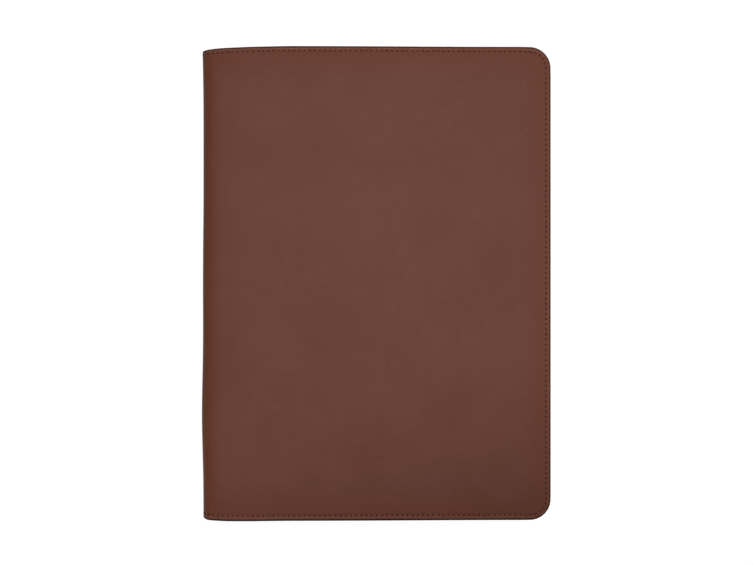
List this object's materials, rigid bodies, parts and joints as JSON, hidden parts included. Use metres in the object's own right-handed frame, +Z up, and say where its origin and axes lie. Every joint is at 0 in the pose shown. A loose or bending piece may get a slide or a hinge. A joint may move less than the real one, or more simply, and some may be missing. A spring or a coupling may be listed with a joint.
{
  "type": "leather document case",
  "caption": "Flat leather document case that opens like a book, shown closed, with a soft folded spine, rounded outer corners and a sewn-in pocket in each half for A4 papers.",
  "frame": {"origin": "on the table under the middle of the closed case", "axes": "+X from the spine to the free edge, +Y from the foot to the head of the front, +Z up through the thickness, with the case lying on its back half"},
  "size_m": [0.236, 0.32, 0.014],
  "materials": {
    "cover_leather": "smooth full-grain leather, dyed brown, low sheen, with dark painted edges",
    "pocket_leather": "thin smooth leather, dyed brown, matt, with dark painted edges",
    "thread": "waxed sewing thread, reddish brown"
  },
  "bodies": {
    "root": {"cover": "cover_leather", "back_pocket": "pocket_leather", "front_pocket": "pocket_leather"}
  },
  "joints": []
}
